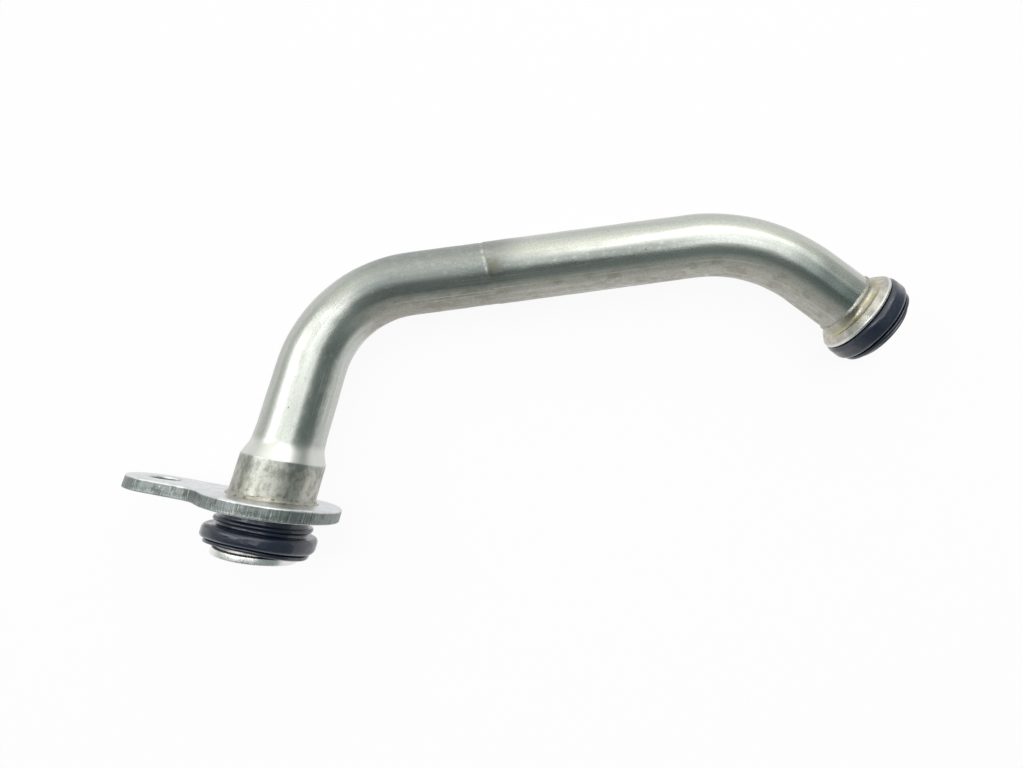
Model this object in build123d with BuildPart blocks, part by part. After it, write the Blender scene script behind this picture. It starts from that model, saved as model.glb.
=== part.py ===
# Turbo oil line: a bent steel tube with a bolted flange fitting at its foot and a plug-in fitting at its far end.
#
# All sizes are in millimetres. The line lies on a bench at Z = 0 as it comes to rest by itself: on the rim of
# its flange, under its first bend and on its end seal. X runs along the tube's middle run, and the origin is
# on the bench under the middle of the line.
#
# The fittings are half sections, revolved. In a section, X is the distance from the fitting's axis and Y runs
# along it: upwards from the flange's seat at the foot, and outwards from the collar's rim at the far end.

from build123d import *
from math import radians, sin, sqrt
import os

os.makedirs("parts", exist_ok=True)

# Tube
tube_diameter = 16.0
tube_wall = 1.0
first_bend_radius = 26.0
second_bend_radius = 40.0

# The centre line seen from above: the flange's seat, the two corners and the collar's rim
foot_xy = (-63.8, -22.5)
first_corner_xy = (-46.9, 26.7)
second_corner_xy = (60.0, 26.7)
rim_xy = (82.6, 4.5)

# Spigots: both fittings end in one, with a rim that holds the seal on
spigot_diameter = 16.6
port_diameter = 13.0
foot_rim_height = 1.6
end_rim_height = 0.8
spigot_rim_lip = 0.75
spigot_rim_rounding = 0.35
port_chamfer = 0.4

# Flange and the ferrule brazed through it
flange_thickness = 3.0
flange_radius = 15.5
ear_radius = 7.6
ear_reach = 24.4
ear_root_rounding = 7.0
bolt_hole_diameter = 7.0
flange_rounding = 0.35
insert_height = 7.6
insert_wall = 1.0

# Bell: the foot of the tube, swaged out over the ferrule
bell_wall = 1.0
bell_height = 8.8
bell_shoulder = 3.2
bell_rounding = 0.5

# Collar at the far end
collar_radius = 11.05
collar_lip = 0.5
ridge_radius = 9.7
ridge_back = 2.0
ridge_rounding = 0.3
neck_back = 4.2
neck_length = 0.7
neck_wall = 0.35
tube_stop_back = 1.0

# Seals: rubber sleeves with one thick ring and thin lips, each placed by the height of its middle
seal_wall = 1.3
seal_play = 0.1
lip_height = 0.9
lip_rounding = 0.4
ring_rounding = 1.2
foot_seal_height = 8.0
foot_ring_radius = 12.2
foot_ring_height = 3.1
foot_ring_depth = 5.3
foot_upper_lip_radius = 10.6
foot_upper_lip_depth = 2.4
foot_lower_lip_radius = 11.2
foot_lower_lip_depth = 7.45
end_seal_height = 5.9
end_ring_radius = 11.6
end_ring_height = 4.3
end_ring_depth = 2.35
end_lip_radius = 10.7
end_lip_depth = 5.3

# Braze fillets
foot_braze = 0.9
end_braze = 0.3
braze_hollow = 0.1

# Sizes that follow from those above
tube_radius = tube_diameter / 2
tube_bore_radius = tube_radius - tube_wall
spigot_radius = spigot_diameter / 2
spigot_rim_radius = spigot_radius + spigot_rim_lip
port_radius = port_diameter / 2
seal_radius = spigot_radius + seal_wall
bell_radius = spigot_radius + bell_wall
bell_top = flange_thickness + bell_height
insert_top = flange_thickness + insert_height
foot_groove = foot_seal_height + 2 * seal_play
end_groove = end_seal_height + 2 * seal_play
foot_spigot = foot_groove + foot_rim_height
end_spigot = end_groove + end_rim_height
neck_radius = tube_radius + neck_wall


def bend_bottom(before, corner, after, bend_radius):
    """Height of the lowest point of the arc that rounds a corner of the centre line."""
    back = (before - corner).normalized()
    ahead = (after - corner).normalized()
    centre = corner + (back + ahead).normalized() * bend_radius / sin(radians(back.get_angle(ahead) / 2))
    normal = back.cross(ahead).normalized()
    return centre.Z - bend_radius * sqrt(1 - normal.Z**2)


# At rest the end run is level on its seal. The foot and the first corner settle until the flange's rim and
# the first bend touch the bench too, and four rounds bring both within a hundredth of a millimetre.
settling_rounds = 4
rim_centre = Vector(*rim_xy, end_ring_radius)
second_corner = Vector(*second_corner_xy, end_ring_radius)
first_corner = Vector(*first_corner_xy, tube_radius)
foot = Vector(*foot_xy, flange_radius)
for _ in range(settling_rounds):
    leg = (first_corner - foot).normalized()
    rim_reach = (flange_radius - flange_rounding) * sqrt(1 - leg.Z**2)
    rim_lean = (flange_thickness - flange_rounding) * -leg.Z
    foot = Vector(*foot_xy, rim_reach + rim_lean + flange_rounding)
    bend_height = bend_bottom(foot, first_corner, second_corner, first_bend_radius)
    first_corner = Vector(*first_corner_xy, first_corner.Z + tube_radius - bend_height)

leg = (first_corner - foot).normalized()
outward = (rim_centre - second_corner).normalized()
up = Vector(0, 0, 1)

# The ear lies level, on the side of the foot that the bend turns away from
ear_side = up.cross(leg).normalized()
foot_plane = Plane(foot, x_dir=ear_side, z_dir=leg)
foot_section = Plane(foot, x_dir=ear_side, z_dir=ear_side.cross(leg))
foot_axis = Axis(foot, leg)
end_side = up.cross(outward).normalized()
end_section = Plane(rim_centre, x_dir=end_side, z_dir=end_side.cross(outward))
end_axis = Axis(rim_centre, outward)


def seal_band(reach, middle, height, rounding):
    """Add a rounded band, from inside the sleeve's wall out to its reach, to the seal section being drawn."""
    root = seal_radius - rounding
    with Locations(((root + reach) / 2, middle)):
        RectangleRounded(reach - root, height, rounding)


# Tube: one wall along the centre line, and the bell at its foot
tube_start = foot + leg * (bell_top + bell_shoulder)
tube_end = rim_centre - outward * tube_stop_back

with BuildPart() as oil_tube:
    with BuildLine() as centre_line:
        FilletPolyline(
            tube_start, first_corner, second_corner, tube_end,
            radius=[first_bend_radius, second_bend_radius],
        )
    with BuildSketch(Plane(tube_start, x_dir=ear_side, z_dir=leg)):
        Circle(tube_radius)
        Circle(tube_bore_radius, mode=Mode.SUBTRACT)
    sweep()
    with BuildSketch(foot_section) as bell_half:
        with BuildLine():
            Polyline(
                (spigot_radius, flange_thickness),
                (bell_radius, flange_thickness),
                (bell_radius, bell_top),
                (tube_radius, bell_top + bell_shoulder),
                (tube_bore_radius, bell_top + bell_shoulder),
                (spigot_radius, bell_top),
                close=True,
            )
        make_face()
        shoulder = bell_half.vertices().group_by(Axis.X)[-1].sort_by(Axis.Y)[-1]
        fillet(shoulder, bell_rounding)
    revolve(axis=foot_axis)
oil_tube.part.label = "oil_tube"
export_step(oil_tube.part, "parts/oil_tube.step")

# Flange: a stamped round plate with one straight ear for the bolt, rounded into the plate at its root
with BuildPart() as flange_plate:
    with BuildSketch(foot_plane) as flange_outline:
        Circle(flange_radius)
        with Locations((ear_reach, 0)):
            Circle(ear_radius)
        with Locations((ear_reach / 2, 0)):
            Rectangle(ear_reach, 2 * ear_radius)
        fillet(flange_outline.vertices().group_by(Axis.X)[0], ear_root_rounding)
    extrude(amount=flange_thickness)
    fillet(flange_plate.edges().filter_by(foot_plane), flange_rounding)
    with Locations(foot_plane):
        Hole(spigot_radius)
    with Locations(foot_plane.shift_origin(foot_plane.from_local_coords((ear_reach, 0, 0)))):
        Hole(bolt_hole_diameter / 2)
flange_plate.part.label = "flange_plate"
export_step(flange_plate.part, "parts/flange_plate.step")

# Flange ferrule: the spigot under the flange, and the insert that the tube's bell is brazed over
with BuildPart() as flange_ferrule:
    with BuildSketch(foot_section) as ferrule_half:
        with BuildLine():
            Polyline(
                (port_radius, -foot_spigot),
                (spigot_rim_radius, -foot_spigot),
                (spigot_rim_radius, -foot_groove),
                (spigot_radius, -foot_groove),
                (spigot_radius, insert_top),
                (spigot_radius - insert_wall, insert_top),
                (spigot_radius - insert_wall, flange_thickness),
                (port_radius, flange_thickness),
                close=True,
            )
        make_face()
        fillet(ferrule_half.vertices().group_by(Axis.X)[-1], spigot_rim_rounding)
        chamfer(ferrule_half.vertices().group_by(Axis.Y)[0].sort_by(Axis.X)[0], port_chamfer)
    revolve(axis=foot_axis)
flange_ferrule.part.label = "flange_ferrule"
export_step(flange_ferrule.part, "parts/flange_ferrule.step")

# Flange seal: two thin lips with the thick ring between them
with BuildPart() as flange_seal:
    with BuildSketch(foot_section):
        with Locations(((spigot_radius + seal_radius) / 2, -foot_groove / 2)):
            Rectangle(seal_wall, foot_seal_height)
        seal_band(foot_upper_lip_radius, -foot_upper_lip_depth, lip_height, lip_rounding)
        seal_band(foot_ring_radius, -foot_ring_depth, foot_ring_height, ring_rounding)
        seal_band(foot_lower_lip_radius, -foot_lower_lip_depth, lip_height, lip_rounding)
    revolve(axis=foot_axis)
flange_seal.part.label = "flange_seal"
export_step(flange_seal.part, "parts/flange_seal.step")

# Flange braze: the filler run into the corner between the bell and the flange
with BuildPart() as flange_braze:
    with BuildSketch(foot_section):
        with BuildLine():
            Polyline(
                (bell_radius, flange_thickness + foot_braze),
                (bell_radius, flange_thickness),
                (bell_radius + foot_braze, flange_thickness),
            )
            SagittaArc(
                (bell_radius + foot_braze, flange_thickness),
                (bell_radius, flange_thickness + foot_braze),
                -braze_hollow,
            )
        make_face()
    revolve(axis=foot_axis)
flange_braze.part.label = "flange_braze"
export_step(flange_braze.part, "parts/flange_braze.step")

# End ferrule: a neck over the tube, the flared collar that backs the seal, and the spigot inside the seal
with BuildPart() as end_ferrule:
    with BuildSketch(end_section) as collar_half:
        with BuildLine():
            Polyline(
                (ridge_radius, -ridge_back),
                (collar_radius, -collar_lip),
                (collar_radius, 0),
                (spigot_radius, 0),
                (spigot_radius, end_groove),
                (spigot_rim_radius, end_groove),
                (spigot_rim_radius, end_spigot),
                (port_radius, end_spigot),
                (port_radius, -tube_stop_back),
                (tube_radius, -tube_stop_back),
                (tube_radius, -neck_back),
                (neck_radius, -neck_back),
                (neck_radius, neck_length - neck_back),
            )
            TangentArc(
                (neck_radius, neck_length - neck_back),
                (ridge_radius, -ridge_back),
                tangent=(0, 1),
            )
        make_face()
        fillet(collar_half.vertices().sort_by_distance((ridge_radius, -ridge_back))[0], ridge_rounding)
        fillet(collar_half.vertices().group_by(Axis.Y)[-1].sort_by(Axis.X)[-1], spigot_rim_rounding)
        chamfer(collar_half.vertices().group_by(Axis.Y)[-1].sort_by(Axis.X)[0], port_chamfer)
    revolve(axis=end_axis)
end_ferrule.part.label = "end_ferrule"
export_step(end_ferrule.part, "parts/end_ferrule.step")

# End seal: the thick ring against the collar and one thin lip
with BuildPart() as end_seal:
    with BuildSketch(end_section):
        with Locations(((spigot_radius + seal_radius) / 2, end_groove / 2)):
            Rectangle(seal_wall, end_seal_height)
        seal_band(end_ring_radius, end_ring_depth, end_ring_height, ring_rounding)
        seal_band(end_lip_radius, end_lip_depth, lip_height, lip_rounding)
    revolve(axis=end_axis)
end_seal.part.label = "end_seal"
export_step(end_seal.part, "parts/end_seal.step")

# End braze: the filler at the mouth of the neck
with BuildPart() as end_braze_ring:
    with BuildSketch(end_section):
        with BuildLine():
            Polyline(
                (tube_radius, -neck_back - end_braze),
                (tube_radius, -neck_back),
                (tube_radius + end_braze, -neck_back),
                close=True,
            )
        make_face()
    revolve(axis=end_axis)
end_braze_ring.part.label = "end_braze"
export_step(end_braze_ring.part, "parts/end_braze.step")
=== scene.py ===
"""Turbo oil line: a bent stainless tube with a one-eared flange fitting at its foot, a collared plug-in
fitting at its far end, and a ribbed rubber seal on each spigot.

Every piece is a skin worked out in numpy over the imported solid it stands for. Lengths are in millimetres in
the model's own frame until a mesh, a lamp or the camera is placed. Each skin also keeps "own_mm", the place
of its points on the straight, upright piece before it was bent or set, and the finishes read that, so a
draw mark follows the tube round its bends and a tool mark goes round its fitting.
"""

import bmesh
import bpy
import numpy as np
from mathutils import Matrix


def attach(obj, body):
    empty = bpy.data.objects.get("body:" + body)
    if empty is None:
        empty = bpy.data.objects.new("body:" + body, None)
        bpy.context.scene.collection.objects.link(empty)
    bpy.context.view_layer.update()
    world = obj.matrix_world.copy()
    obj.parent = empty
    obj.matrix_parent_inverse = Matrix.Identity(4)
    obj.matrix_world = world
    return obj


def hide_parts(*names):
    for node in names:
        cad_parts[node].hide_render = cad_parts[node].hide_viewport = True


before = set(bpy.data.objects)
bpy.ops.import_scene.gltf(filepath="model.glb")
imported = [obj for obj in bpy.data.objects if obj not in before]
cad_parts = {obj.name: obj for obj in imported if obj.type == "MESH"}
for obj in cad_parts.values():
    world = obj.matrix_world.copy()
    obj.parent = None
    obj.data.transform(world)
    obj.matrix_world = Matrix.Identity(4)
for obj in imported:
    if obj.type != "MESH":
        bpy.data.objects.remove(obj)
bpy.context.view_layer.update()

MM = 0.001

# ---------------------------------------------------------------- places, as the solids have them
# The middle of the flange's seat, the corners where the straight runs would meet, and the middle of the
# end collar's rim
foot = np.array((-63.8, -22.5, 15.7285))
first_corner = np.array((-46.9, 26.7, 7.3689))
second_corner = np.array((60.0, 26.7, 11.6))
rim = np.array((82.6, 4.5, 11.6))
first_bend, second_bend = 26.0, 40.0
tube_radius, bore_radius = 8.0, 7.0
spigot_radius, bell_radius, port_radius = 8.3, 9.3, 6.5
plate_thickness = 3.0
bell_top, tube_start = 11.8, 15.0
# Heights on the fittings' own axes: the lips at the spigots' ends, and the mouth of the neck over the tube
foot_lip_low, foot_lip_top, end_lip_low, end_lip_top, neck_mouth = -9.8, -8.2, 6.1, 6.9, -4.2
lip_radius, collar_radius, neck_radius = 9.05, 11.05, 8.35


def unit(v):
    """v at length one, along the last axis."""
    return v / np.linalg.norm(v, axis=-1, keepdims=True)


leg = unit(first_corner - foot)
middle = unit(second_corner - first_corner)
outward = unit(rim - second_corner)
ear_side = unit(np.cross((0, 0, 1), leg))
end_side = unit(np.cross((0, 0, 1), outward))
first_turn = np.arccos(leg @ middle)
second_turn = np.arccos(middle @ outward)
first_setback = first_bend * np.tan(first_turn / 2)
second_setback = second_bend * np.tan(second_turn / 2)

# Stations along the line, counted from the flange's seat
first_in = np.linalg.norm(first_corner - foot) - first_setback
first_out = first_in + first_bend * first_turn
second_in = first_out + np.linalg.norm(second_corner - first_corner) - first_setback - second_setback
second_out = second_in + second_bend * second_turn
rim_at = second_out + np.linalg.norm(rim - second_corner) - second_setback
tube_end = rim_at - 1.0
# The bending clamp's mark, and how far it leans to either side of its middle
clamp_at, clamp_lean = first_out + 20.2, 1.0


# ---------------------------------------------------------------- shapes
def turn(v, axis, angle):
    """v turned about axis by angle: v cos + (axis x v) sin + axis (axis . v)(1 - cos)."""
    cos, sin = np.cos(angle)[..., None], np.sin(angle)[..., None]
    along = np.sum(axis * v, axis=-1, keepdims=True)
    return v * cos + np.cross(np.broadcast_to(axis, v.shape), v) * sin + axis * along * (1 - cos)


def bent_line(s):
    """Centre and two cross axes of the tube at stations s.

    The line is three straight runs and two arcs. Each run adds its length times its direction. An arc of
    radius R turned by a adds R (sin a) along the run before it and R (1 - cos a) towards the next run. The
    cross axes turn about each arc's own axis, so the section never twists.
    """
    s = np.asarray(s, float)
    first = np.clip((s - first_in) / first_bend, 0, first_turn)
    second = np.clip((s - second_in) / second_bend, 0, second_turn)
    towards_middle = unit(middle - leg * (leg @ middle))
    towards_end = unit(outward - middle * (middle @ outward))
    runs = (np.minimum(s, first_in), np.clip(s - first_out, 0, second_in - first_out),
            np.maximum(s - second_out, 0))
    centre = foot + runs[0][..., None] * leg + runs[1][..., None] * middle + runs[2][..., None] * outward
    for radius, angle, along, towards in ((first_bend, first[..., None], leg, towards_middle),
                                          (second_bend, second[..., None], middle, towards_end)):
        centre = centre + radius * (np.sin(angle) * along + (1 - np.cos(angle)) * towards)
    axes = []
    for start in (ear_side, np.cross(leg, ear_side)):
        v = np.broadcast_to(start, s.shape + (3,))
        v = turn(v, unit(np.cross(leg, middle)), first)
        axes.append(turn(v, unit(np.cross(middle, outward)), second))
    return centre, axes[0], axes[1]


def side_angle(direction, s):
    """Angle round the tube, at station s, of a direction in the model's frame."""
    _, across, over = bent_line(np.array(s))
    return np.arctan2(over @ direction, across @ direction)


first_outer = side_angle(-unit(middle - leg * (leg @ middle)), first_in)
second_outer = side_angle(-unit(outward - middle * (middle @ outward)), second_in)


def foot_line(h):
    """Centre and cross axes of the foot fitting at heights h over the flange's seat."""
    h = np.asarray(h, float)
    return foot + h[..., None] * leg, ear_side, np.cross(leg, ear_side)


def end_line(h):
    """Centre and cross axes of the end fitting at distances h outwards from the collar's rim."""
    h = np.asarray(h, float)
    return rim + h[..., None] * outward, end_side, np.cross(outward, end_side)


def rounded(corners, steps=8):
    """Closed outline with arcs at its corners, from rows of (radius, height, rounding).

    At a corner of opening 2p the arc of radius r starts r / tan p from the corner, and its centre is
    r / sin p along the bisector. The arc's points swing from its start to its end by equal angles.
    """
    c = np.array(corners, float)
    at, r = c[:, :2], c[:, 2:]
    back, ahead = unit(np.roll(at, 1, 0) - at), unit(np.roll(at, -1, 0) - at)
    p = np.arccos(np.sum(back * ahead, 1, keepdims=True)) / 2
    centre = at + unit(back + ahead) * r / np.sin(p)
    start, end = at + back * r / np.tan(p) - centre, at + ahead * r / np.tan(p) - centre
    swing = np.pi - 2 * p
    t = np.linspace(0, 1, steps)[None, :]
    arc = (np.sin((1 - t) * swing)[..., None] * start[:, None] + np.sin(t * swing)[..., None] * end[:, None])
    return (centre[:, None] + arc / np.sin(swing)[..., None]).reshape(-1, 2)


def filled(outline, gap, closed=True):
    """The outline with even points added on each stretch that is longer than gap."""
    after = np.roll(outline, -1, 0) if closed else outline[1:]
    before = outline if closed else outline[:-1]
    length = np.linalg.norm(after - before, axis=1)
    before, after, length = before[length > 1e-6], after[length > 1e-6], length[length > 1e-6]
    gap = np.broadcast_to(gap(before) if callable(gap) else gap, length.shape)
    count = np.ceil(length / gap).astype(int)
    step = np.arange(count.sum()) - np.repeat(np.cumsum(count) - count, count)
    share = (step / np.repeat(count, count))[:, None]
    points = np.repeat(before, count, 0) * (1 - share) + np.repeat(after, count, 0) * share
    return points if closed else np.vstack([points, outline[-1:]])


def waves(x, *terms):
    """Sum of cosines of x, one for each (size, rate, phase). Round a ring the rates are whole numbers."""
    return sum(size * np.cos(rate * x + phase) for size, rate, phase in terms)


def ramp(value, low, high):
    """Smooth step of value from 0 at low to 1 at high."""
    t = np.clip((value - low) / (high - low), 0, 1)
    return t * t * (3 - 2 * t)


def grid_faces(rows, columns, wrap_rows, wrap_columns):
    """Corner numbers of the quads of a grid, its last row or column joined to the first where it wraps."""
    i = np.arange(rows if wrap_rows else rows - 1)[:, None]
    j = np.arange(columns if wrap_columns else columns - 1)[None, :]
    below, beside = (i + 1) % rows, (j + 1) % columns
    quads = (i * columns + j, i * columns + beside, below * columns + beside, below * columns + j)
    return np.stack([np.broadcast_to(q, (i.size, j.size)) for q in quads], -1).reshape(-1, 4)


def skin(name, parts, node, finish):
    """One closed piece from grids of (points in place, points on the upright piece, faces).

    The grids' shared borders are merged, to 2 micrometres, and the faces turned outwards.
    """
    starts = np.cumsum([0] + [len(p[0].reshape(-1, 3)) for p in parts[:-1]])
    points = np.concatenate([p[0].reshape(-1, 3) for p in parts]) * MM
    own = np.concatenate([p[1].reshape(-1, 3) for p in parts])
    faces = np.concatenate([p[2] + start for p, start in zip(parts, starts)])
    mesh = bpy.data.meshes.new(name)
    mesh.vertices.add(len(points))
    mesh.vertices.foreach_set("co", points.ravel())
    mesh.loops.add(faces.size)
    mesh.loops.foreach_set("vertex_index", faces.ravel())
    mesh.polygons.add(len(faces))
    mesh.polygons.foreach_set("loop_start", np.arange(0, faces.size, 4))
    mesh.update()
    mesh.attributes.new("own_mm", "FLOAT_VECTOR", "POINT").data.foreach_set("vector", own.ravel())
    work = bmesh.new()
    work.from_mesh(mesh)
    bmesh.ops.remove_doubles(work, verts=work.verts, dist=2e-6)
    bmesh.ops.recalc_face_normals(work, faces=work.faces)
    work.to_mesh(mesh)
    work.free()
    mesh.polygons.foreach_set("use_smooth", np.ones(len(mesh.polygons), bool))
    mesh.materials.append(finish)
    piece = bpy.data.objects.new(name, mesh)
    bpy.context.scene.collection.objects.link(piece)
    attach(piece, "root")
    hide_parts(node)


def ring(outline, line, columns, change=None):
    """Grid of a closed outline of (radius, height) carried right round a line.

    A point at radius r, height h and angle a is the line's centre at h + r (cos a, sin a) on its cross
    axes. change(r, h, a) may move r and h a little.
    """
    angle = np.linspace(0, 2 * np.pi, columns, endpoint=False)[None, :]
    r, h = (np.repeat(outline[:, k:k + 1], columns, 1) for k in (0, 1))
    if change:
        r, h = change(r, h, angle)
    centre, across, over = line(h)
    cos, sin = (r * np.cos(angle))[..., None], (r * np.sin(angle))[..., None]
    own = np.stack([r * np.cos(angle), r * np.sin(angle), h], -1)
    return centre + cos * across + sin * over, own, grid_faces(len(outline), columns, True, True)


# ---------------------------------------------------------------- finishes
def linear(code):
    """Linear colour of an sRGB hex value."""
    c = np.array([int(code[k:k + 2], 16) for k in (1, 3, 5)]) / 255
    c = np.where(c <= 0.04045, c / 12.92, ((c + 0.055) / 1.055) ** 2.4)
    return (*c.tolist(), 1.0)


def add(tree, kind, links, **settings):
    """Adds a node. links gives an input a value or an output to read, by its name or number."""
    made = tree.nodes.new(kind)
    for name, value in settings.items():
        setattr(made, name, value)
    for name, value in links.items():
        if isinstance(value, bpy.types.NodeSocket):
            tree.links.new(value, made.inputs[name])
        else:
            made.inputs[name].default_value = value
    return made


def new_finish(name):
    """An empty material with the piece's own coordinates: its tree and their output."""
    material = bpy.data.materials.new(name)
    material.use_nodes = True
    material.node_tree.nodes.clear()
    own = add(material.node_tree, "ShaderNodeAttribute", {}, attribute_name="own_mm")
    return material, material.node_tree, own.outputs["Vector"]


def pattern(tree, own, size, detail=3.0, rough=0.55):
    """Noise whose marks are size mm across, one size for each of the piece's own axes."""
    scaled = add(tree, "ShaderNodeVectorMath", {0: own, 1: tuple(1 / s for s in size)}, operation="MULTIPLY")
    return add(tree, "ShaderNodeTexNoise", {"Vector": scaled.outputs[0], "Scale": 1.0, "Detail": detail,
                                            "Roughness": rough}).outputs[0]


def where(tree, *limits):
    """Share, 0 to 1, of being within every limit. A limit is (value, start, end): 0 at start, 1 at end."""
    share = 1.0
    for value, start, end in limits:
        within = add(tree, "ShaderNodeMapRange", {"Value": value, 1: start, 2: end},
                     interpolation_type="SMOOTHSTEP")
        share = add(tree, "ShaderNodeMath", {0: share, 1: within.outputs[0]},
                    operation="MULTIPLY").outputs[0]
    return share


def layered(tree, colour, *layers):
    """A colour with others laid over it in turn.

    A layer is (share, how much of it shows at full share, colour).
    """
    colour = linear(colour)
    for share, most, over in layers:
        share = add(tree, "ShaderNodeMath", {0: share, 1: most}, operation="MULTIPLY").outputs[0]
        colour = add(tree, "ShaderNodeMix", {0: share, 6: colour, 7: linear(over)},
                     data_type="RGBA").outputs[2]
    return colour


def worn(tree, value, *wear):
    """A roughness, or another value, with amounts added to it.

    A row of wear is (share, amount at full share).
    """
    for share, amount in wear:
        value = add(tree, "ShaderNodeMath", {0: share, 1: amount, 2: value},
                    operation="MULTIPLY_ADD").outputs[0]
    return value


def coat(tree, colour, roughness, heights, **settings):
    """The surface: a principled shader over a stack of bumps, which its clear coat, if any, follows too.

    A bump is (height, depth in metres).
    """
    normal = {}
    for height, depth in heights:
        bump = add(tree, "ShaderNodeBump", {"Height": height, "Strength": 1.0, "Distance": depth, **normal})
        normal = {"Normal": bump.outputs[0]}
    shader = add(tree, "ShaderNodeBsdfPrincipled", {"Base Color": colour, "Roughness": roughness, **settings,
                                                    **normal, "Coat Normal": bump.outputs[0]})
    add(tree, "ShaderNodeOutputMaterial", {"Surface": shader.outputs[0]})


# Type 304 stainless steel tube, drawn, swaged and bent: satin, with draw lines and faint streaks along it.
# The bell is stained by the brazing heat and smudged, has a band of painted shade below its top, and is
# lighter over its swaged shoulder, partly a painted highlight. Painted shade lies grey on the inner side of
# the first leg and, thin and darker, along the flanks of the middle run. From the first bend to the clamp's
# mark the bending die has rubbed the tube dull and bluish. The mark is a pale nick, partly a painted glint,
# with pale specks before it and a brown stain behind. The inner side of both bends has a warm, speckled
# tarnish, less metallic than bare steel and partly a painted reflection, and the flank past the last bend
# is darkened grey with painted shade.
drawn_stainless, tree, own = new_finish("drawn_stainless_steel")
station = add(tree, "ShaderNodeSeparateXYZ", {0: own}).outputs[2]
# Cosine of the angle from the inner side of the first bend: 1 there, 0 on the flanks, -1 on the outer side
inner_side = (-np.cos(first_outer) / tube_radius, -np.sin(first_outer) / tube_radius, 0.0)
inner = add(tree, "ShaderNodeVectorMath", {0: own, 1: inner_side}, operation="DOT_PRODUCT").outputs["Value"]
leaning = add(tree, "ShaderNodeMath", {0: inner, 1: -clamp_lean, 2: station},
              operation="MULTIPLY_ADD").outputs[0]
# Real draw lines and the steel's grain are finer than 0.1 mm, drawn at about 0.4 so that they show
draw_lines = pattern(tree, own, (0.40, 0.40, 45.0), 2.0)
grain = pattern(tree, own, (0.35, 0.35, 0.5), 3.0)
streaks = pattern(tree, own, (1.2, 1.2, 22.0), 3.0)
mottle = pattern(tree, own, (1.3, 1.3, 2.0), 5.0, 0.65)
stains = pattern(tree, own, (3.0, 3.0, 5.0), 3.0)
spots = pattern(tree, own, (1.0, 1.0, 1.4), 2.0, 0.5)
nicks = pattern(tree, own, (0.30, 0.30, 0.45), 1.0)
# All over
streaked = where(tree, (streaks, 0.36, 0.66))
grained = where(tree, (grain, 0.40, 0.62))
blemished = where(tree, (spots, 0.71, 0.80))
scratched = where(tree, (draw_lines, 0.60, 0.68), (inner, 0.35, 0.6),
                  (station, tube_start + 3, tube_start + 9))
# Bell
heated = where(tree, (station, bell_top + 0.2, bell_top - 1.8))
smudged = where(tree, (station, bell_top + 0.2, bell_top - 2.8), (mottle, 0.44, 0.60))
# painted shade: a darker band on the bell just below its top
shaded = where(tree, (station, bell_top - 4.8, bell_top - 1.8), (station, bell_top + 0.2, bell_top - 0.3),
               (mottle, 0.30, 0.58))
# lighter over the swaged shoulder, partly a painted highlight
swaged_and_highlit = where(tree, (station, bell_top - 0.4, bell_top + 0.4),
               (station, tube_start + 1.5, tube_start - 0.5))
flux = where(tree, (station, plate_thickness + 4, plate_thickness + 0.2), (mottle, 0.54, 0.66))
# First leg and bend
on_leg = where(tree, (station, first_in + 14, first_in))
# painted shade: a grey darkening on the inner side of the first leg
painted_leg_shade = where(tree, (station, first_in + 16, first_in + 4), (station, tube_start, tube_start + 3),
               (inner, 0.42, 0.58), (inner, 0.96, 0.86), (mottle, 0.20, 0.55))
dulled = where(tree, (station, first_out - 18, first_out - 2), (station, clamp_at + 12, clamp_at + 1.0))
scuffed = where(tree, (dulled, 0.0, 1.0), (mottle, 0.46, 0.62))
gritty = where(tree, (dulled, 0.0, 1.0), (grain, 0.46, 0.60))
# Clamp's mark
# a pale nick line at the clamp's mark, partly a painted glint on its edge
mark = where(tree, (leaning, clamp_at - 0.5, clamp_at - 0.1), (leaning, clamp_at + 0.5, clamp_at + 0.1),
             (inner, 0.5, 0.1), (inner, -0.9, -0.3), (mottle, 0.36, 0.58))
burnt = where(tree, (leaning, clamp_at + 0.2, clamp_at + 0.9), (leaning, clamp_at + 6.0, clamp_at + 1.2),
              (inner, -0.28, 0.05), (inner, 0.64, 0.30), (mottle, 0.15, 0.60))
frosted = where(tree, (nicks, 0.66, 0.78), (leaning, clamp_at - 12, clamp_at - 3),
                (leaning, clamp_at, clamp_at - 0.6))
# Middle run and last bend
# painted shade: a thin dark band along the flanks of the middle run
painted_run_shade = where(tree, (station, first_in + 14, first_in + 24), (station, second_in + 6.9, second_in - 13.1),
               (inner, -0.04, 0.18), (inner, 0.54, 0.34), (mottle, 0.15, 0.50))
# warm speckled tarnish on the inner side, partly a painted reflection
tarnish_and_reflection = where(tree, (inner, 0.56, 0.78), (mottle, 0.22, 0.56), (station, first_in + 9, first_in + 23))
browned = where(tree, (tarnish_and_reflection, 0.0, 1.0), (stains, 0.50, 0.64))
pitted = where(tree, (tarnish_and_reflection, 0.0, 1.0), (grain, 0.50, 0.62))
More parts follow.
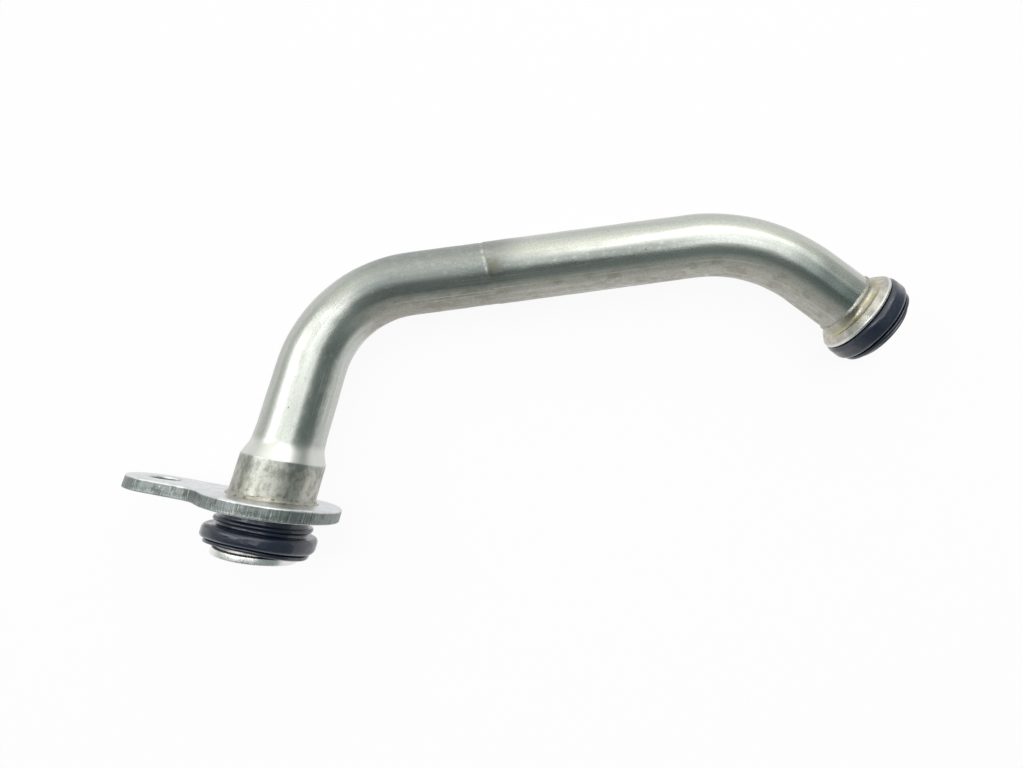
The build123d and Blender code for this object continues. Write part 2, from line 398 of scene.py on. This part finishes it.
# painted shade: a darker grey flank past the last bend
painted_tone = where(tree, (station, second_out - 12, second_out + 1), (inner, 0.60, 0.42), (inner, 0.0, 0.14))
colour = layered(
    tree, "#CACCC6", (streaked, 0.6, "#B5B8B1"), (mottle, 0.35, "#ADB0AB"), (grained, 0.35, "#A2A59F"),
    (heated, 0.5, "#BAB8AD"), (painted_leg_shade, 0.6, "#7F8882"), (smudged, 0.5, "#827D6E"),
    (shaded, 0.5, "#767A73"), (swaged_and_highlit, 0.8, "#DCDDD8"), (dulled, 0.9, "#8F9491"),
    (scuffed, 0.45, "#A9ADA9"), (gritty, 0.22, "#737A78"), (painted_run_shade, 0.6, "#4C5451"),
    (painted_tone, 0.75, "#6A7876"), (tarnish_and_reflection, 1.0, "#B6B3AA"), (browned, 0.45, "#8C8370"),
    (pitted, 0.35, "#86827A"), (scratched, 0.7, "#DAD8D2"), (flux, 0.6, "#77694E"),
    (burnt, 0.7, "#5E5A48"), (mark, 0.4, "#E2E4DE"), (frosted, 0.45, "#D5D8D4"),
    (blemished, 0.7, "#5A5342"))
rough = worn(tree, 0.24, (streaked, 0.05), (dulled, 0.10), (tarnish_and_reflection, 0.12), (heated, 0.06), (swaged_and_highlit, 0.03),
             (on_leg, 0.07))
coat(tree, colour, rough, [(draw_lines, 5e-6), (grain, 9e-6), (mottle, 10e-6)],
     Metallic=worn(tree, 1.0, (tarnish_and_reflection, -0.5)))

# Stainless bar turned on a lathe: lighter than the tube and faintly warm, with fine rings round its axis.
# The ridge behind the collar has a straw tint, where the brazing heat reached it, and the neck before it is
# darkened in its hollow with painted shade. The collar's edge is painted lighter, a painted highlight, the
# lip of the foot's spigot is painted near white, a painted highlight, and the lip of the far one is darker.
turned_steel, tree, own = new_finish("turned_stainless_steel")
axial = add(tree, "ShaderNodeSeparateXYZ", {0: own}).outputs[2]
flat = add(tree, "ShaderNodeVectorMath", {0: own, 1: (1.0, 1.0, 0.0)}, operation="MULTIPLY")
reach = add(tree, "ShaderNodeVectorMath", {0: flat.outputs[0]}, operation="LENGTH").outputs["Value"]
rings_at = add(tree, "ShaderNodeCombineXYZ", {0: reach, 1: axial})
# Real turning marks are about 0.1 mm apart, drawn at twice that, and the grain is drawn coarser still
rings = pattern(tree, rings_at.outputs[0], (0.22, 0.22, 1.0), 2.0)
grain = pattern(tree, own, (0.4, 0.4, 0.4), 3.0)
cloud = pattern(tree, own, (2.0, 2.0, 2.0), 4.0, 0.6)
straw = where(tree, (axial, -4.0, -2.8), (axial, -1.2, -2.0), (cloud, 0.3, 0.6))
# painted shade: the neck's hollow behind the collar is darkened
painted_neck_shade = where(tree, (axial, neck_mouth - 0.3, neck_mouth + 0.2), (axial, -2.1, -2.6), (reach, 9.1, 8.5))
# painted highlight: the collar's outer edge is painted lighter
painted_tone = where(tree, (reach, collar_radius - 0.3, collar_radius - 0.1))
# painted highlight: the foot spigot's lip is painted near white
painted_pale_lip = where(tree, (axial, foot_lip_top + 0.1, foot_lip_top - 0.1))
# the far spigot's lip is darker
darkened_lip = where(tree, (axial, end_lip_low - 0.2, end_lip_low), (axial, end_lip_top + 0.5, end_lip_top + 0.3))
clouded, grained = where(tree, (cloud, 0.35, 0.65)), where(tree, (grain, 0.3, 0.7))
colour = layered(tree, "#C6C4C0", (clouded, 0.9, "#A8A6A1"), (straw, 0.75, "#B9B08C"),
                 (painted_neck_shade, 0.4, "#85816A"), (painted_tone, 0.7, "#E6E4DE"), (painted_pale_lip, 0.9, "#EDEDEB"),
                 (darkened_lip, 0.75, "#5E605E"))
coat(tree, colour, worn(tree, 0.24, (grained, 0.16)), [(rings, 8e-6), (grain, 9e-6)], Metallic=1.0)

# Steel sheet, stamped and zinc plated: pale, faintly clouded faces, and a duller sheared edge scored across
# by the die, darkened further with painted shade on the side wall, and pale ticks where the scores catch the
# light. Real grain and scores are about 0.1 mm across, drawn coarser so that they show.
stamped_plate, tree, own = new_finish("stamped_plated_steel")
height = add(tree, "ShaderNodeSeparateXYZ", {0: own}).outputs[2]
grain = pattern(tree, own, (0.45, 0.45, 0.45), 3.0)
cloud = pattern(tree, own, (2.4, 2.4, 2.4), 4.0, 0.6)
scores = pattern(tree, own, (0.35, 0.35, 4.0), 2.0)
clouded, grained = where(tree, (cloud, 0.36, 0.66)), where(tree, (grain, 0.3, 0.7))
under_roll, over_foot = (height, plate_thickness - 0.28, plate_thickness - 0.7), (height, 0.0, 0.3)
# duller sheared edge, darkened further with painted shade on the side wall
sheared = where(tree, under_roll, over_foot)
grimed = where(tree, under_roll, over_foot, (cloud, 0.50, 0.64))
ticked = where(tree, (scores, 0.56, 0.66), (height, plate_thickness - 0.5, plate_thickness - 1.0), over_foot,
               (cloud, 0.42, 0.52))
colour = layered(tree, "#E1E2E4", (clouded, 0.6, "#C6C9CA"), (sheared, 0.95, "#868C8A"),
                 (grimed, 0.6, "#5E6461"), (ticked, 0.45, "#D9DCD9"))
coat(tree, colour, worn(tree, 0.30, (grained, 0.12), (sheared, 0.06)),
     [(grain, 12e-6), (cloud, 16e-6), (scores, 10e-6)], Metallic=1.0)

# Nickel braze filler as it froze: a dull grey with a lumpy skin and brown flux left in its hollows.
braze_filler, tree, own = new_finish("nickel_braze_filler")
lumps = pattern(tree, own, (0.6, 0.6, 0.6), 3.0)
stains = pattern(tree, own, (1.4, 1.4, 1.0), 3.0)
fluxed, lumpy = where(tree, (stains, 0.52, 0.66)), where(tree, (lumps, 0.3, 0.7))
colour = layered(tree, "#B9B8B0", (lumps, 1.0, "#8F8D84"), (fluxed, 0.8, "#6A5B43"))
coat(tree, colour, worn(tree, 0.30, (lumpy, 0.18)), [(lumps, 40e-6)], Metallic=1.0)

# Fluorocarbon rubber, moulded and wet with oil: blue-black, with broken glints on its ridges. The oil is a
# clear coat, gathered into patches 2 to 3 mm across. Real mould grain is under 0.1 mm, drawn at 0.45.
seal_rubber, tree, own = new_finish("moulded_seal_rubber")
film = pattern(tree, own, (2.6, 2.6, 2.0), 2.0)
grain = pattern(tree, own, (0.45, 0.45, 0.45), 2.0)
wet = where(tree, (film, 0.42, 0.58))
colour = layered(tree, "#060D1A", (film, 1.0, "#12223E"))
coat(tree, colour, worn(tree, 0.44, (wet, -0.14)), [(grain, 14e-6), (film, 110e-6)],
     **{"IOR": 1.5, "Coat Weight": 0.6, "Coat Roughness": 0.09, "Coat IOR": 1.55})


# ---------------------------------------------------------------- tube
def drawn_wall(r, s, a):
    """The bending tool's marks on the outer wall.

    The tube is a hair thinner between the first bend and the clamp's mark, sinks in a thin groove at the
    mark, and flattens a little on the outer side of both bends. The mark leans: it lies further along on
    the bend's inner side, by clamp_lean times the cosine of the angle from there. The wall ripples too,
    and lies as far in as the ripple is high.
    """
    thin_by, groove_depth, groove_width = 0.11, 0.14, 0.4
    long_ripple, short_ripple = 0.010, 0.012
    outside = ramp(r, bore_radius + 0.4, tube_radius - 0.1)
    plain = ramp(s, tube_start + 1, tube_start + 3.5)
    leaning = s + clamp_lean * np.cos(a - first_outer)
    thinner = thin_by * plain * ramp(leaning, clamp_at + 0.5, clamp_at - 0.5)
    groove = groove_depth * np.exp(-((leaning - clamp_at) / groove_width) ** 2)
    lost = thinner + groove
    for start, end, outer, sink in ((first_in, first_out, first_outer, 0.22),
                                    (second_in, second_out, second_outer, 0.18)):
        bend = ramp(s, start, start + 8) * ramp(s, end + 2, end - 8)
        lost = lost + sink * bend * np.maximum(np.cos(a - outer), 0) ** 2
    ripple = (short_ripple * (1 + np.cos(s * 0.83 + 1.0 + np.cos(a)))
              + long_ripple * (1 + np.cos(s * 0.37 + 2 * a)))
    return r - outside * (lost + plain * ripple), s


tube_section = rounded([
    (spigot_radius, plate_thickness, 0.0), (bell_radius, plate_thickness, 0.15),
    (bell_radius, bell_top, 0.6), (tube_radius, tube_start, 5.5), (tube_radius, tube_end, 0.1),
    (bore_radius, tube_end, 0.1), (bore_radius, tube_start, 0.8), (spigot_radius, bell_top, 0.4)], 12)
# The bore, which barely shows, has its points further apart than the outside
outside_gap, bore_gap = 0.75, 3.2
tube_section = filled(tube_section, lambda p: np.where(p[:, 0] < bore_radius + 0.5, bore_gap, outside_gap))
skin("oil_tube_skin", [ring(tube_section, bent_line, 144, drawn_wall)], "oil_tube",
     drawn_stainless)

# ---------------------------------------------------------------- flange plate
plate_radius, ear_radius, ear_reach, ear_root, bolt_radius = 15.5, 7.6, 24.4, 7.0, 3.5
cut = 18.6  # where the faces are cut in two across the ear
bevel = 0.25  # of the holes' edges
edge_gap = 0.16  # between points along the outline
roll_in, roll_down, roll_under = 0.75, 0.5, 0.3  # rounding of the sheared edge, above and below


def arc(centre, radius, start, end, steps=48):
    """Points on an arc, angles in radians."""
    a = np.linspace(start, end, steps)
    return np.stack([centre[0] + radius * np.cos(a), centre[1] + radius * np.sin(a)], -1)


def plate_face(height, ear_edge, body_edge):
    """Grids of one face of the plate, cut in two across the ear.

    Each half is ruled from the round hole in it to its own edge, along straight lines through the hole's
    centre, and the two share the points of the cut.
    """
    grids = []
    across = np.linspace(1, -1, 60)[1:-1, None] * (0, ear_edge[-1, 1]) + (cut, 0)
    for edge, hole, radius in ((np.vstack([ear_edge, across]), (ear_reach, 0), bolt_radius),
                               (np.vstack([body_edge, across[::-1]]), (0, 0), spigot_radius)):
        out = unit(edge - hole)
        inside = bevel if height == 0 else height - bevel
        wall, start = (np.c_[hole + out * reach, np.full(len(edge), level)]
                       for reach, level in ((radius, inside), (radius + bevel, height)))
        end = np.c_[edge, np.full(len(edge), height)]
        rows = np.concatenate([[wall], start + (end - start) * np.linspace(0, 1, 9)[:, None, None]])
        grids.append((rows, grid_faces(len(rows), len(edge), False, True)))
    return grids


def plate_grids():
    """The plate: two faces, two hole walls and the sheared edge.

    The edge is the outline moved inwards by the section's rounding: rolled over at the top, where the
    punch drew the sheet down, burnished below, and torn back a little near the bottom.
    """
    root_x = np.sqrt((plate_radius + ear_root) ** 2 - (ear_radius + ear_root) ** 2)
    root_turn = np.arctan2(ear_radius + ear_root, root_x)
    body = np.vstack([
        [(cut, ear_radius)], arc((root_x, ear_radius + ear_root), ear_root, 1.5 * np.pi, np.pi + root_turn),
        arc((0, 0), plate_radius, root_turn, 2 * np.pi - root_turn, 200),
        arc((root_x, -ear_radius - ear_root), ear_root, np.pi - root_turn, 0.5 * np.pi),
        [(cut, -ear_radius)]])
    ear = np.vstack([[(cut, -ear_radius)], arc((ear_reach, 0), ear_radius, -np.pi / 2, np.pi / 2, 90),
                     [(cut, ear_radius)]])
    ear, body = filled(ear, edge_gap, closed=False), filled(body, edge_gap, closed=False)
    loop = np.vstack([ear[:-1], body[:-1]])
    tangent = unit(np.roll(loop, -1, 0) - np.roll(loop, 1, 0))
    normal = np.stack([tangent[:, 1], -tangent[:, 0]], -1)
    length = np.cumsum(np.linalg.norm(loop - np.roll(loop, 1, 0), axis=1))
    # Section of the edge: (inset, height), from the top face down to the bottom face
    t = np.linspace(0, np.pi / 2, 9)
    over = np.stack([roll_in * (1 - np.sin(t)), plate_thickness - roll_down * (1 - np.cos(t))], -1)
    under = roll_under * np.stack([1 - np.cos(t), 1 - np.sin(t)], -1)
    down = np.linspace(plate_thickness - roll_down, roll_under, 16)[1:-1]
    section = np.vstack([over, np.stack([np.zeros_like(down), down], -1), under])
    inset, height = section[:, :1], np.repeat(section[:, 1:], len(loop), 1)
    on_wall = ramp(height, 0.05, 0.5) * ramp(height, plate_thickness - 0.1, plate_thickness - 0.7)
    scores = waves(length, (0.00875, 5.3, 0.4), (0.00875, 8.1, 2.0), (0.00875, 12.7, 1.1),
                   (0.00875, 3.1, 0.2))
    torn = ramp(height + waves(length, (0.15, 0.7, 0.0), (0.08, 2.3, 0.0)), 1.4, 0.8)
    depth = inset + on_wall * (0.03 + scores + torn * (0.02 + 0.02 * np.cos(length * 9.7 + 5 * height)))
    edge = np.concatenate([loop[None] - normal[None] * depth[..., None], height[..., None]], -1)
    grids = [(edge, grid_faces(len(section), len(loop), False, True))]
    for row, level in ((0, plate_thickness), (-1, 0.0)):
        border = edge[row, :, :2]
        grids += plate_face(level, border[:len(ear)], np.vstack([border[len(ear) - 1:], border[:1]]))
    for top, bottom in ((1, 3), (2, 4)):
        rims = grids[top][0][0], grids[bottom][0][0]
        share = np.linspace(0, 1, 10)[:, None, None]
        wall = rims[0] * (1 - share) + rims[1] * share
        grids.append((wall, grid_faces(len(wall), wall.shape[1], False, True)))
    return grids


def in_plate(points):
    """Points of the upright plate put in place."""
    return foot + points @ np.stack([ear_side, np.cross(leg, ear_side), leg])


skin("flange_plate_skin", [(in_plate(p), p, f) for p, f in plate_grids()], "flange_plate",
     stamped_plate)

# ---------------------------------------------------------------- foot fitting
foot_section = filled(rounded([
    (port_radius, foot_lip_low, 0.35), (lip_radius, foot_lip_low, 0.35), (lip_radius, foot_lip_top, 0.35),
    (spigot_radius, foot_lip_top, 0.1), (spigot_radius, 10.6, 0.15), (7.3, 10.6, 0.15),
    (7.3, plate_thickness, 0.2), (port_radius, plate_thickness, 0.1)]), 0.6)
skin("flange_ferrule_skin", [ring(foot_section, foot_line, 160)], "flange_ferrule",
     turned_steel)

# Both seals: the radius of the wall on the spigot and of the valleys between the ridges
seal_bore, valley = 8.32, 9.6
foot_seal_section = filled(rounded([
    (seal_bore, -0.1, 0.05), (valley, -0.1, 0.2),
    (valley, -1.95, 0.25), (10.6, -1.95, 0.4), (10.6, -2.85, 0.4), (valley, -2.85, 0.3),
    (valley, -3.75, 0.3), (12.2, -3.75, 1.0), (12.2, -6.85, 1.0), (valley, -6.85, 0.07),
    (valley, -7.0, 0.07), (11.2, -7.0, 0.4), (11.2, -7.9, 0.4), (valley, -7.9, 0.08),
    (valley, -8.1, 0.05), (seal_bore, -8.1, 0.05)]), 0.3)


def soft_wander(r, h, a):
    """A moulded seal is never quite true: its ridges wave in and along by a few hundredths.

    They start 0.06 in, as far as the waves reach out.
    """
    proud = ramp(r, 9.4, 10.6)
    return (r - proud * (0.06 + waves(a, (0.03, 3, 0.5), (0.02, 5, 2.0), (0.01, 11, 1.0))),
            h + proud * waves(a, (0.05, 2, 1.0), (0.04, 3, 2.6), (0.02, 7, 0.3)))


def ridden_up(r, h, a):
    """The used foot seal has ridden up on its upper side and rolled down on the side away from the ear.

    Both grow with depth: up by 0.14 |h| where sin a is 1, down by 0.11 |h| where cos a is -1. The roll
    spares the seal's inner wall, which the spigot's rim holds.
    """
    r, h = soft_wander(r, h, a)
    up = 0.14 * np.maximum(np.sin(a), 0) ** 1.5
    down = 0.11 * ramp(r, 9.15, 9.6) * (1 - np.cos(a)) / 2
    return r, h * (1 - up + down)


skin("flange_seal_skin", [ring(foot_seal_section, foot_line, 224, ridden_up)], "flange_seal",
     seal_rubber)

foot_braze_section = filled(rounded([
    (9.2, 2.9, 0.02), (10.05, 2.95, 0.02), (9.65, 3.25, 0.4), (9.33, 3.75, 0.02), (9.2, 3.75, 0.02)]), 0.12)


def run_out(r, h, a):
    """Braze runs further on some sides: its toe on the plate and its rise on the bell wander."""
    toe, rise = ramp(r, 9.4, 10.05), ramp(h, 3.1, 3.75)
    return (r + toe * waves(a, (0.18, 2, 0.4), (0.12, 5, 1.4), (0.07, 9, 0.6), (0.05, 17, 2.0)),
            h + rise * waves(a, (0.12, 3, 1.2), (0.08, 7, 0.1), (0.05, 13, 2.2)))


skin("flange_braze_skin", [ring(foot_braze_section, foot_line, 256, run_out)], "flange_braze",
     braze_filler)

# ---------------------------------------------------------------- end fitting
end_section = filled(rounded([
    (tube_radius, -1.0, 0.05), (tube_radius, neck_mouth, 0.05), (neck_radius, neck_mouth, 0.1),
    (neck_radius, -2.14, 1.35), (9.7, -2.0, 0.3), (collar_radius, -0.5, 0.15), (collar_radius, 0.0, 0.15),
    (spigot_radius, 0.0, 0.1), (spigot_radius, end_lip_low, 0.1), (lip_radius, end_lip_low, 0.35),
    (lip_radius, end_lip_top, 0.35), (port_radius, end_lip_top, 0.35), (port_radius, -1.0, 0.1)]), 0.4)
skin("end_ferrule_skin", [ring(end_section, end_line, 192)], "end_ferrule", turned_steel)

end_seal_section = filled(rounded([
    (seal_bore, 0.1, 0.04), (valley, 0.1, 0.04),
    (valley, 0.2, 0.04), (11.6, 0.2, 1.2), (11.6, 4.5, 1.2), (valley, 4.5, 0.15),
    (valley, 4.85, 0.15), (10.7, 4.85, 0.35), (10.7, 5.75, 0.35), (valley, 5.75, 0.1),
    (valley, 6.0, 0.05), (seal_bore, 6.0, 0.05)]), 0.3)
skin("end_seal_skin", [ring(end_seal_section, end_line, 224, soft_wander)], "end_seal",
     seal_rubber)

end_braze_section = filled(rounded([
    (7.8, -4.5, 0.02), (8.02, -4.5, 0.02), (8.3, -4.2, 0.02), (7.8, -4.1, 0.02)]), 0.1)


def thin_run_out(r, h, a):
    """The filler's toe along the tube wanders by a tenth or two."""
    return r, h - ramp(h, -4.25, -4.5) * (0.1 + waves(a, (0.09, 3, 0.4), (0.06, 7, 1.4), (0.04, 15, 0.2)))


skin("end_braze_skin", [ring(end_braze_section, end_line, 192, thin_run_out)], "end_braze",
     braze_filler)


# ---------------------------------------------------------------- bench, light and camera
def stand(thing, right, up, back, at):
    """Puts a lamp or a camera at a point, in metres, with its own x, y and z along right, up and back."""
    place = np.eye(4)
    place[:3, :3] = np.stack([right, up, back], 1)
    place[:3, 3] = at
    thing.matrix_world = Matrix(place.tolist())
    bpy.context.scene.collection.objects.link(thing)


def bench():
    """A white bench that shows white to the camera and in the metal, and keeps the line's soft shadow."""
    half, glowing = 2.0, 0.93
    mesh = bpy.data.meshes.new("bench")
    mesh.from_pydata([(-half, -half, 0), (half, -half, 0), (half, half, 0), (-half, half, 0)], [],
                     [(0, 1, 2, 3)])
    material = bpy.data.materials.new("white_bench")
    material.use_nodes = True
    tree = material.node_tree
    tree.nodes.clear()
    ray = add(tree, "ShaderNodeLightPath", {}).outputs
    seen = 0.0
    for kind in ("Is Camera Ray", "Is Glossy Ray", "Is Transmission Ray"):
        seen = add(tree, "ShaderNodeMath", {0: seen, 1: ray[kind]}, operation="MAXIMUM").outputs[0]
    share = add(tree, "ShaderNodeMath", {0: seen, 1: glowing}, operation="MULTIPLY")
    white = add(tree, "ShaderNodeBsdfDiffuse", {"Color": linear("#F4F4F4")})
    glow = add(tree, "ShaderNodeEmission", {"Color": (1, 1, 1, 1), "Strength": 1.0})
    mixed = add(tree, "ShaderNodeMixShader", {0: share.outputs[0], 1: white.outputs[0], 2: glow.outputs[0]})
    add(tree, "ShaderNodeOutputMaterial", {"Surface": mixed.outputs[0]})
    mesh.materials.append(material)
    floor = bpy.data.objects.new("bench", mesh)
    bpy.context.scene.collection.objects.link(floor)


def room():
    """A dim room that pales towards the horizon, with a light wall on its far side. The camera sees white.

    Each zone blends into the next by a smooth step of the direction's x, y or z. The colours are linear,
    and a row of colours mixes its two by a zone's share.
    """
    world = bpy.data.worlds.new("room")
    bpy.context.scene.world = world
    world.use_nodes = True
    tree = world.node_tree
    tree.nodes.clear()
    look = add(tree, "ShaderNodeTexCoord", {}).outputs["Generated"]
    x, y, z = add(tree, "ShaderNodeSeparateXYZ", {0: look}).outputs
    zones = {"seen": add(tree, "ShaderNodeLightPath", {}).outputs["Is Camera Ray"]}
    for name, value, start, end in (("low", z, 0.88, 0.0), ("right", x, 0.05, 0.43), ("far", y, 0.3, 0.8),
                                    ("left", x, -0.35, -0.65)):
        zones[name] = add(tree, "ShaderNodeMapRange", {"Value": value, 1: start, 2: end},
                          interpolation_type="SMOOTHSTEP").outputs[0]
    colours = {}
    for name, zone, outside, inside in (
            ("near", "low", (0.16, 0.19, 0.185, 1), (0.62, 0.66, 0.63, 1)),
            ("near", "right", "near", (0.26, 0.30, 0.29, 1)),
            ("beyond", "low", (1.70, 1.69, 1.59, 1), (1.14, 1.15, 1.08, 1)),
            ("beyond", "left", "beyond", (0.78, 0.82, 0.78, 1)),
            ("sky", "far", "near", "beyond"),
            ("sky", "seen", "sky", (1, 1, 1, 1))):
        colours[name] = add(tree, "ShaderNodeMix", {0: zones[zone], 6: colours.get(outside, outside),
                                                    7: colours.get(inside, inside)},
                            data_type="RGBA").outputs[2]
    back = add(tree, "ShaderNodeBackground", {"Color": colours["sky"], "Strength": 1.0})
    add(tree, "ShaderNodeOutputWorld", {"Surface": back.outputs[0]})


def lamp(name, azimuth, zenith, away, wide, high, radiance):
    """A soft panel that faces the line, its size and its distance away in metres.

    It stands at azimuth degrees round from +X and zenith degrees down from straight above. Its power is
    radiance x area x pi.
    """
    light = bpy.data.lights.new(name, "AREA")
    light.shape = "RECTANGLE"
    light.size, light.size_y = wide, high
    light.energy = radiance * wide * high * np.pi
    around, down = np.radians(azimuth), np.radians(zenith)
    back = np.array((np.cos(around) * np.sin(down), np.sin(around) * np.sin(down), np.cos(down)))
    right = unit(np.cross((0, 0, 1), back))
    panel = bpy.data.objects.new(name, light)
    panel.visible_camera = False
    stand(panel, right, np.cross(back, right), back, back * away)


def photographer():
    """Camera at the photograph's place: nearly overhead, close, with a wide lens."""
    lens = bpy.data.cameras.new("camera")
    lens.lens, lens.sensor_width = 20.70, 36.0
    lens.shift_x, lens.shift_y = -0.0591, -0.0631
    lens.clip_start = 0.01
    camera = bpy.data.objects.new("camera", lens)
    right, up = (0.98974, -0.13534, 0.04585), (0.13082, 0.98728, 0.09032)
    back = (-0.05749, -0.08339, 0.99486)
    stand(camera, right, up, back, np.array((2.594, 0.118, 155.924)) * MM)
    bpy.context.scene.camera = camera


bench()
room()
# The first two draw the long highlights, and the small one widens the highlight on the first bend
lamp("window", 54, 29, 0.6, 0.42, 0.70, 1.6)
lamp("left_window", 150, 42, 1.2, 0.40, 0.90, 3.0)
lamp("panel_over_bend", 142, 18, 0.37, 0.20, 0.12, 0.8)
photographer()
bpy.context.scene.view_settings.view_transform = "Standard"
